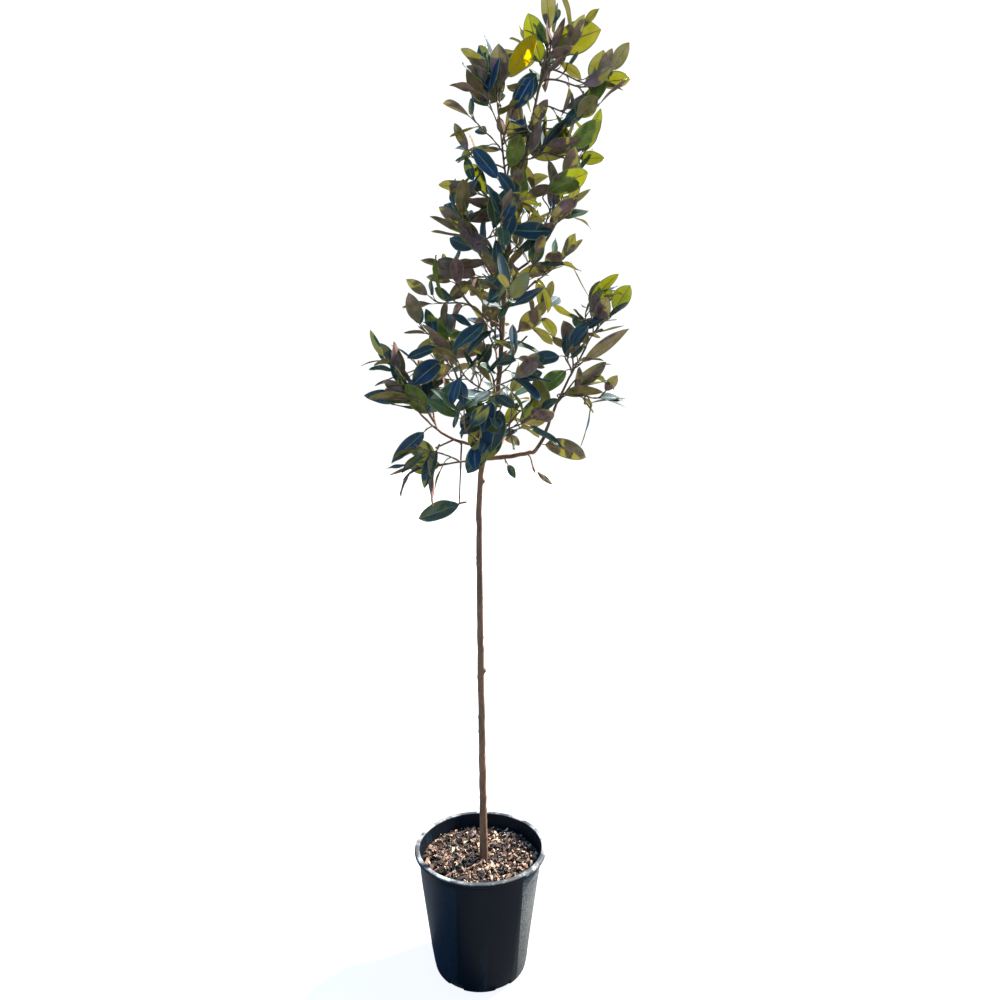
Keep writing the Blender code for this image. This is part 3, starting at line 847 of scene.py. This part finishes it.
class Leaf:
    """One leaf: where its stalk starts, which way the blade lies, and its size and form."""

    def __init__(self, root, axis, out, length, dice, droop):
        self.root = root
        self.axis = axis
        self.direction = (out + Vector((0.0, 0.0, -droop))).normalized()
        face = axis + Vector((0.0, 0.0, 0.30))
        normal = (face - self.direction * face.dot(self.direction)).normalized()
        self.normal = Matrix.Rotation(dice.gauss(0.0, 0.35), 3, self.direction) @ normal
        self.side = self.direction.cross(self.normal)
        self.length = length
        self.width = length * dice.uniform(*blade_ratio)
        self.stalk = dice.uniform(*petiole_length)
        self.blunt = dice.uniform(0.56, 0.76)
        self.high = dice.uniform(0.84, 1.05)
        self.fold = dice.uniform(0.08, 0.36)
        self.arch = dice.gauss(-0.18, 0.30)
        self.twist = dice.gauss(0.0, 0.18)
        self.wave = dice.uniform(0.0, 0.030)
        self.phase = dice.uniform(0.0, 6.3)
        self.top = dice.random()
        self.back = dice.random()
        self.tones = None
        self.base = root + (axis * 0.35 + self.direction * 0.65).normalized() * self.stalk
        self.middle = self.base + self.direction * length * 0.55

    def lay(self, base, width, lean, tones):
        """Turn a lone leaf about its middle line: at lean 0 its top faces away, at 180 the viewer."""
        away = Vector((0.0, 1.0, 0.0))
        away = (away - self.direction * away.dot(self.direction)).normalized()
        over = away.cross(self.direction)
        if over.z < 0.0:
            over.negate()
        self.normal = away * math.cos(lean) + over * math.sin(lean)
        self.side = self.direction.cross(self.normal)
        self.base = base
        self.middle = base + self.direction * self.length * 0.55
        self.width = width
        self.tones = tones

    def samples(self):
        for share, across in ((0.25, 0.0), (0.55, 0.32), (0.55, -0.32), (0.78, 0.0), (0.97, 0.0)):
            along = self.direction * self.length * share
            yield self.base + along + self.side * self.width * across


def leaf_score(leaf, near, others):
    """Best where the blade lies inside the crown and clear of the other leaves."""
    held = sum(min(0.010, crown_depth(point, near)) for point in leaf.samples()) / 5.0
    gaps = [(leaf.middle - other.middle).length for other in others]
    crowd = sum(0.12 * max(0.0, 0.045 - gap) + 1.5 * max(0.0, 0.018 - gap) for gap in gaps)
    return held - crowd


def grow_leaves(mass, shoot, dice, others):
    """Leaves in a spiral from the tip down. Each takes the best of a few places."""
    leaves = []
    turn = dice.uniform(0.0, 6.3)
    back = first_gap * 0.4
    for rank in range(dice.randint(*leaves_per_shoot)):
        share = 1.0 - back / shoot.length
        if share < 0.08:
            break
        axis = shoot.heading(share)
        across = axis.orthogonal().normalized()
        lean = math.radians(24.0 + 50.0 * min(1.0, rank / 6.0))
        grown = 0.74 if rank == 0 else 1.0
        best, best_score = None, -9.0
        for _ in range(leaf_tries):
            spread = lean + dice.gauss(0.0, 0.20)
            side = Matrix.Rotation(turn + dice.gauss(0.0, 0.5), 3, axis) @ across
            out = axis * math.cos(spread) + side * math.sin(spread)
            root = shoot.place(share) + side * shoot.radius(share) * 0.8
            length = grown * dice.uniform(*blade_length)
            leaf = Leaf(root, axis, out, length, dice, mass.droop * dice.uniform(0.6, 1.3))
            score = leaf_score(leaf, mass.near, others + leaves)
            if score > best_score:
                best, best_score = leaf, score
        best.mass = mass
        if best_score > least_score or rank < 3:
            leaves.append(best)
        turn += leaf_turn
        back += first_gap + (last_gap - first_gap) * min(1.0, rank / 5.0) + dice.uniform(0.0, 0.006)
    return leaves


def grow_mass(mass, seed):
    """All the shoots of one mass and their leaves, drawn from the crown's one seed."""
    shoots, leaves = [], []
    for index in range(mass.shoot_count):
        dice = random.Random(f"{mass.name} {index} {seed}")
        spots = limb_spots + (shoots[0].spots() if shoots else [])
        tip, growth = pick_tip(mass, dice, [shoot.tip for shoot in shoots])
        shoot = Shoot(dice, tip, growth, spots)
        shoots.append(shoot)
        leaves.extend(grow_leaves(mass, shoot, dice, leaves))
    return shoots, leaves


shoots, leaves = [], []
for mass in masses.values():
    mass.shoots, new_leaves = grow_mass(mass, crown_seed)
    shoots.extend(mass.shoots)
    leaves.extend(new_leaves)
for name, base, tip, width, lean, *tones in lone_leaves:
    mass = masses[f"{name}_mass"]
    dice = random.Random(f"{mass.name} {base}")
    base, tip = Vector(base), Vector(tip)
    way = (tip - base).normalized()
    leaf = Leaf(base - way * petiole_length[0], way, way, (tip - base).length, dice, 0.0)
    leaf.lay(base, width, math.radians(lean), tones)
    leaf.mass = mass
    own_bough = limbs.get(f"{name}_bough", [])
    spots = [spot for shoot in mass.shoots for spot in shoot.spots(0.92)]
    shoots.append(Shoot(dice, leaf.root, way, limb_spots + own_bough + spots, reach=0.0))
    leaves.append(leaf)


def make_twigs():
    parts = []
    for shoot in shoots:
        rings = max(8, round(shoot.length / twig_ring_gap))
        line = []
        for i in range(rings + 1):
            share = i / rings
            line.append((shoot.place(share), shoot.radius(share)))
        line.append((shoot.tip + shoot.heading(1.0) * 0.002, 0.4 * shoot.tip_radius))
        parts.append(sweep(line, twig_sides, twig_relief))
    points, faces = joined(parts)
    return make_piece("twigs", points, faces, [twig_bark()], creases=60.0)


def twig_relief(middle, spoke, radius):
    """Rings left by old buds and leaf stalks, and a fine unevenness."""
    ringed = 0.10 * noise.noise(middle * 160.0)
    fine = 0.08 * noise.noise((middle + spoke * radius) * 500.0)
    return radius * (ringed + fine)


def twig_bark():
    paint = Finish("young twig bark")
    patches = paint.cloud(60.0, detail=3.0)
    colour = paint.ramp(
        patches, (0.30, tint(66, 48, 44)), (0.50, tint(98, 74, 56)), (0.72, tint(122, 96, 62)),
    )
    grain = paint.bump(paint.cloud(600.0), 0.3, 0.0008)
    return paint.surface(Base_Color=colour, Roughness=0.55, Normal=grain)


ride_root(make_twigs(), "bark")


# The buds at the shoot tips are pointed and furry, in olive and rusty brown. Each is a small
# spindle that carries on the line of its twig.

bud_seed = 23
bud_length = (0.012, 0.024)
bud_rings, bud_sides = 7, 8
bud_tones = {"olive bud felt": (140, 122, 60), "rusty bud felt": (150, 92, 58)}
olive_share = 0.6


def make_buds():
    dice = random.Random(bud_seed)
    parts = []
    slots = []
    for shoot in shoots:
        length = dice.uniform(*bud_length)
        thick = length * dice.uniform(0.13, 0.17)
        heading = shoot.heading(1.0)
        line = []
        for i in range(bud_rings + 1):
            share = i / bud_rings
            swell = math.sin(math.pi * (0.12 + 0.88 * share) ** 0.8)
            line.append((shoot.tip + heading * length * (share - 0.08), max(0.0003, thick * swell)))
        part = sweep(line, bud_sides)
        parts.append(part)
        slots.extend([0 if dice.random() < olive_share else 1] * len(part[1]))
    points, faces = joined(parts)
    finishes = [bud_felt(name, tone) for name, tone in bud_tones.items()]
    return make_piece("buds", points, faces, finishes, slots, creases=60.0)


def bud_felt(name, tone):
    paint = Finish(name)
    fur = paint.cloud(900.0, detail=2.0)
    colour = paint.ramp(fur, (0.3, shade(tone, 0.75)), (0.7, tint(*tone)))
    grain = paint.bump(fur, 0.4, 0.0006)
    return paint.surface(Base_Color=colour, Roughness=0.9, Sheen_Weight=0.4, Normal=grain)


ride_root(make_buds(), "foliage")


# The leaves are thick and leathery: glossy dark green above, felted brown or dull green beneath,
# folded a little along a pale midrib. Each is a closed thin blade on a short stalk.

blade_rows = 18
blade_columns = (-1.0, -0.92, -0.60, -0.24, -0.035, 0.035, 0.24, 0.60, 0.92, 1.0)
blade_thick = 0.0005
vein_height = 0.0002
rib_height = 0.0011
stalk_rings, stalk_sides = 4, 5

# The blue in the deep and blue top tones, and the sky_shine tint of their gloss, are painted sky
# reflection.
# Red, green and blue of each finish, then the share of light that this side of a leaf lets through.
top_tones = {
    "deep leaf top": (6, 47, 68, 0.28),
    "blue leaf top": (4, 45, 84, 0.24),
    "mid leaf top": (16, 68, 60, 0.38),
    "fresh leaf top": (70, 108, 44, 0.42),
    "yellow leaf top": (200, 172, 22, 0.78),
}
under_tones = {
    "brown leaf felt": (172, 130, 120, 0.54),
    "purple-brown leaf felt": (156, 116, 120, 0.48),
    "olive leaf felt": (172, 140, 94, 0.60),
    "pale green leaf back": (152, 166, 86, 0.68),
    "yellow leaf back": (214, 186, 44, 0.88),
}
rib_tones = {
    "leaf midrib": (150, 156, 84),
    "felted midrib": (150, 116, 74),
    "leaf stalk": (128, 110, 62),
    "leaf margin": (142, 144, 86),
}
green_light = (191, 192, 24)
yellow_light = (242, 216, 20)
# Painted sky reflection: a blue tint on the gloss of the leaf tops.
sky_shine = (0.34, 0.72, 1.0, 1.0)


def half_width(leaf, share):
    """Half the blade's width along its length, as a share of the widest."""
    if not 0.0 < share < 1.0:
        return 0.02
    point = 1.0 - 0.30 * max(0.0, share - 0.88) / 0.12
    return max(0.02, point * math.sin(math.pi * share ** leaf.high) ** leaf.blunt)


def blade_point(leaf, share, across, under):
    """A point on the blade, folded, arched, twisted and waved."""
    ahead = share + 0.085 * abs(across) * min(1.0, share / 0.12) * (1.0 - share)
    bend = leaf.arch * ahead
    forward = leaf.length * (math.sin(bend) / leaf.arch if abs(leaf.arch) > 0.01 else ahead)
    lift = leaf.length * ((1.0 - math.cos(bend)) / leaf.arch if abs(leaf.arch) > 0.01 else 0.0)
    ahead_way = leaf.direction * math.cos(bend) + leaf.normal * math.sin(bend)
    up = leaf.normal * math.cos(bend) - leaf.direction * math.sin(bend)
    turned = Matrix.Rotation(leaf.twist * ahead, 3, ahead_way)
    side = turned @ leaf.side
    up = turned @ up
    half = leaf.width / 2.0 * half_width(leaf, ahead)
    reach = half * across
    fold = leaf.fold * (1.0 - 0.35 * abs(across))
    rise = abs(reach) * math.sin(fold)
    phase = leaf.phase + (2.0 if across > 0 else 0.0)
    rise += leaf.wave * leaf.length * across ** 2 * math.sin(9.0 * ahead + phase)
    row = round(share * blade_rows)
    if 0.1 < abs(across) < 0.9:
        rise += vein_height * (-1.0) ** row
    rib = abs(across) < 0.1
    if under:
        rise -= blade_thick + (rib_height * (1.0 - 0.7 * share) if rib else 0.0)
    elif rib:
        rise -= 0.0003
    middle = leaf.base + leaf.direction * forward + leaf.normal * lift
    return middle + side * reach * math.cos(fold) + up * rise


def leaf_mesh(leaf):
    """Points, faces and what each face shows: 0 top, 1 under, 2 and 3 ribs, 4 stalk, 5 margin."""
    wide = len(blade_columns)
    points = []
    for under in (False, True):
        for row in range(blade_rows + 1):
            for across in blade_columns:
                points.append(blade_point(leaf, row / blade_rows, across, under))
    faces, shows = [], []
    under_first = (blade_rows + 1) * wide
    for row in range(blade_rows):
        for k in range(wide - 1):
            a = row * wide + k
            b = a + wide
            rib = k == wide // 2 - 1
            margin = k in (0, wide - 2)
            faces.append((a, a + 1, b + 1, b))
            shows.append(2 if rib else 5 if margin else 0)
            faces.append((under_first + a, under_first + b, under_first + b + 1, under_first + a + 1))
            shows.append(3 if rib else 5 if margin else 1)
        for k in (0, wide - 1):
            a = row * wide + k
            b = a + wide
            edge = (a, b, under_first + b, under_first + a)
            faces.append(edge if k == 0 else edge[::-1])
            shows.append(5)
    for row in (0, blade_rows):
        for k in range(wide - 1):
            a = row * wide + k
            end = (a, under_first + a, under_first + a + 1, a + 1)
            faces.append(end if row == 0 else end[::-1])
            shows.append(1)
    stalk = []
    for i in range(stalk_rings + 1):
        share = i / stalk_rings
        reach = leaf.stalk * 1.06
        soft = leaf.root.lerp(leaf.root + leaf.axis * reach * 0.4, share).lerp(
            leaf.base - leaf.direction * reach * 0.4 * (1.0 - share) + leaf.direction * 0.003, share
        )
        stalk.append((soft, 0.0019 - 0.0007 * share))
    stalk_points, stalk_faces = sweep(stalk, stalk_sides)
    first = len(points)
    points.extend(stalk_points)
    faces.extend([first + k for k in face] for face in stalk_faces)
    shows.extend([4] * len(stalk_faces))
    return points, faces, shows


def drawn(number, weights):
    """The row that a number from 0 to 1 falls in, when each row is as long as its weight."""
    number *= sum(weights)
    for row, weight in enumerate(weights):
        number -= weight
        if number < 0.0:
            return row
    return len(weights) - 1


def leaf_tones(leaf):
    """Which top and back finish a leaf has: paler, more see-through finishes go more often high and to
    the right, where the sun falls, and blue tops more often in shade: painted light.
    """
    if leaf.tones:
        return leaf.tones
    height = (leaf.middle.z - crown_foot) / crown_height
    sunny = min(1.0, max(0.0, 0.55 * height + 0.6 * (leaf.middle.x - 0.02)))
    top = drawn(leaf.top, (5.0, 6.0 * (1.2 - sunny), 2.5, 1.2 * sunny, 0.10 * sunny))
    back = drawn(leaf.back, (5.0, 4.0, 2.0, 0.6 + sunny, 0.0))
    return top, (4 if top == 4 else back)


def leaf_paint(name, tone, share, glossy):
    """One side of a leaf: its tone and the share of light that comes through, warmer if yellow."""
    paint = Finish(name)
    soft = paint.cloud(35.0, detail=2.0)
    colour = paint.ramp(soft, (0.32, shade(tone, 0.68)), (0.68, shade(tone, 1.18)))
    through = (share, tint(*(yellow_light if "yellow" in name else green_light)))
    if glossy:
        return paint.surface(
            through, Base_Color=colour, Roughness=0.68 + 0.08 * soft, Specular_IOR_Level=0.60,
            Specular_Tint=sky_shine,
        )
    return paint.surface(through, Base_Color=colour, Roughness=0.85, Specular_IOR_Level=0.25)


def rib_paint(name, tone):
    paint = Finish(name)
    soft = paint.cloud(60.0, detail=2.0)
    colour = paint.ramp(soft, (0.3, shade(tone, 0.8)), (0.7, tint(*tone)))
    return paint.surface(Base_Color=colour, Roughness=0.5)


finishes = [leaf_paint(name, tone, share, True) for name, (*tone, share) in top_tones.items()]
finishes += [leaf_paint(name, tone, share, False) for name, (*tone, share) in under_tones.items()]
finishes += [rib_paint(name, tone) for name, tone in rib_tones.items()]


def make_leaves(name, chosen):
    points, faces, slots = [], [], []
    for leaf in chosen:
        own_points, own_faces, shows = leaf_mesh(leaf)
        top, under = leaf_tones(leaf)
        ribs = len(top_tones) + len(under_tones)
        own_slots = (top, len(top_tones) + under, ribs, ribs + 1, ribs + 2, ribs + 3)
        first = len(points)
        points.extend(own_points)
        faces.extend([first + k for k in face] for face in own_faces)
        slots.extend(own_slots[show] for show in shows)
    return make_piece(name, points, faces, finishes, slots, creases=50.0)


crown_parts = {"leaves_lower": 1.77, "leaves_waist": 1.98, "leaves_middle": 2.25, "leaves_upper": 9.0}
below = 0.0
for part, above in crown_parts.items():
    names = [name for name, mass in masses.items() if below <= mass.centre.z < above]
    chosen = [leaf for leaf in leaves if leaf.mass.name in names]
    ride_root(make_leaves(part, chosen), "foliage", *names)
    below = above


# The floor is a wide pale sheet. A warm sun stands high behind on the right and shines through
# the leaves, a wide cool light fills from the front left, and the sky adds blue.

floor_reach = 60.0
sun_heading, sun_height = math.radians(34.0), math.radians(44.0)
sun_strength, sun_tint, sun_spread = 17.0, (1.0, 0.93, 0.80), math.radians(2.0)
fill_place, fill_power, fill_tint, fill_size = (-3.0, -4.0, 3.4), 25.0, (0.70, 0.85, 1.0), 3.0
sky_tint, sky_strength = (0.27, 0.57, 1.0, 1.0), 1.1
crown_middle = Vector((0.05, 0.0, 1.9))

floor_corners = [(x * floor_reach, y * floor_reach, 0.0) for x, y in ((-1, -1), (1, -1), (1, 1), (-1, 1))]
floor = make_piece("floor", floor_corners, [(0, 1, 2, 3)], [])
sheet = Finish("pale floor")
seen = sheet.node("ShaderNodeLightPath")
glow = sheet.mix(seen, (0.0, 0.0, 0.0, 1.0), (0.88, 0.88, 0.88, 1.0))
floor.data.materials.append(sheet.surface(
    Base_Color=tint(112, 116, 122), Roughness=0.9, Emission_Color=glow, Emission_Strength=1.0,
))


def make_air():
    """White to the eye, and clear sky blue as light."""
    world = bpy.data.worlds.new("studio air")
    bpy.context.scene.world = world
    air = Nodes(world)
    white = air.node("ShaderNodeBackground", Color=(1.0, 1.0, 1.0, 1.0), Strength=1.05)
    soft = air.node("ShaderNodeBackground", Color=sky_tint, Strength=sky_strength)
    to_eye = air.node("ShaderNodeLightPath")
    both = air.node("ShaderNodeMixShader", Fac=to_eye, i1=soft, i2=white)
    air.node("ShaderNodeOutputWorld", Surface=both)


def add_lamp(name, kind, place, power, colour, **settings):
    lamp = bpy.data.lights.new(name, kind)
    lamp.energy = power
    lamp.color = colour
    for key, value in settings.items():
        setattr(lamp, key, value)
    holder = bpy.data.objects.new(name, lamp)
    holder.location = place
    holder.rotation_euler = (crown_middle - Vector(place)).to_track_quat("-Z", "Y").to_euler()
    bpy.context.scene.collection.objects.link(holder)


make_air()
sunward = Vector((
    math.cos(sun_heading) * math.cos(sun_height),
    math.sin(sun_heading) * math.cos(sun_height),
    math.sin(sun_height),
))
add_lamp("key", "SUN", crown_middle + 8.0 * sunward, sun_strength, sun_tint, angle=sun_spread)
add_lamp("fill", "AREA", fill_place, fill_power, fill_tint, size=fill_size)
bpy.context.scene.view_settings.view_transform = "Standard"


# The camera stands at eye height in front of the plant, a little right of it, and looks slightly
# down, as the pot's round lip and foot show.

eye_place = (0.059, -2.03, 1.56)
eye_down = math.radians(4.0)
lens_length, sensor_width = 24.9, 36.0

lens = bpy.data.cameras.new("camera")
lens.lens = lens_length
lens.sensor_width = sensor_width
camera = bpy.data.objects.new("camera", lens)
camera.location = eye_place
camera.rotation_euler = (math.pi / 2.0 - eye_down, 0.0, 0.0)
bpy.context.scene.collection.objects.link(camera)
bpy.context.scene.camera = camera
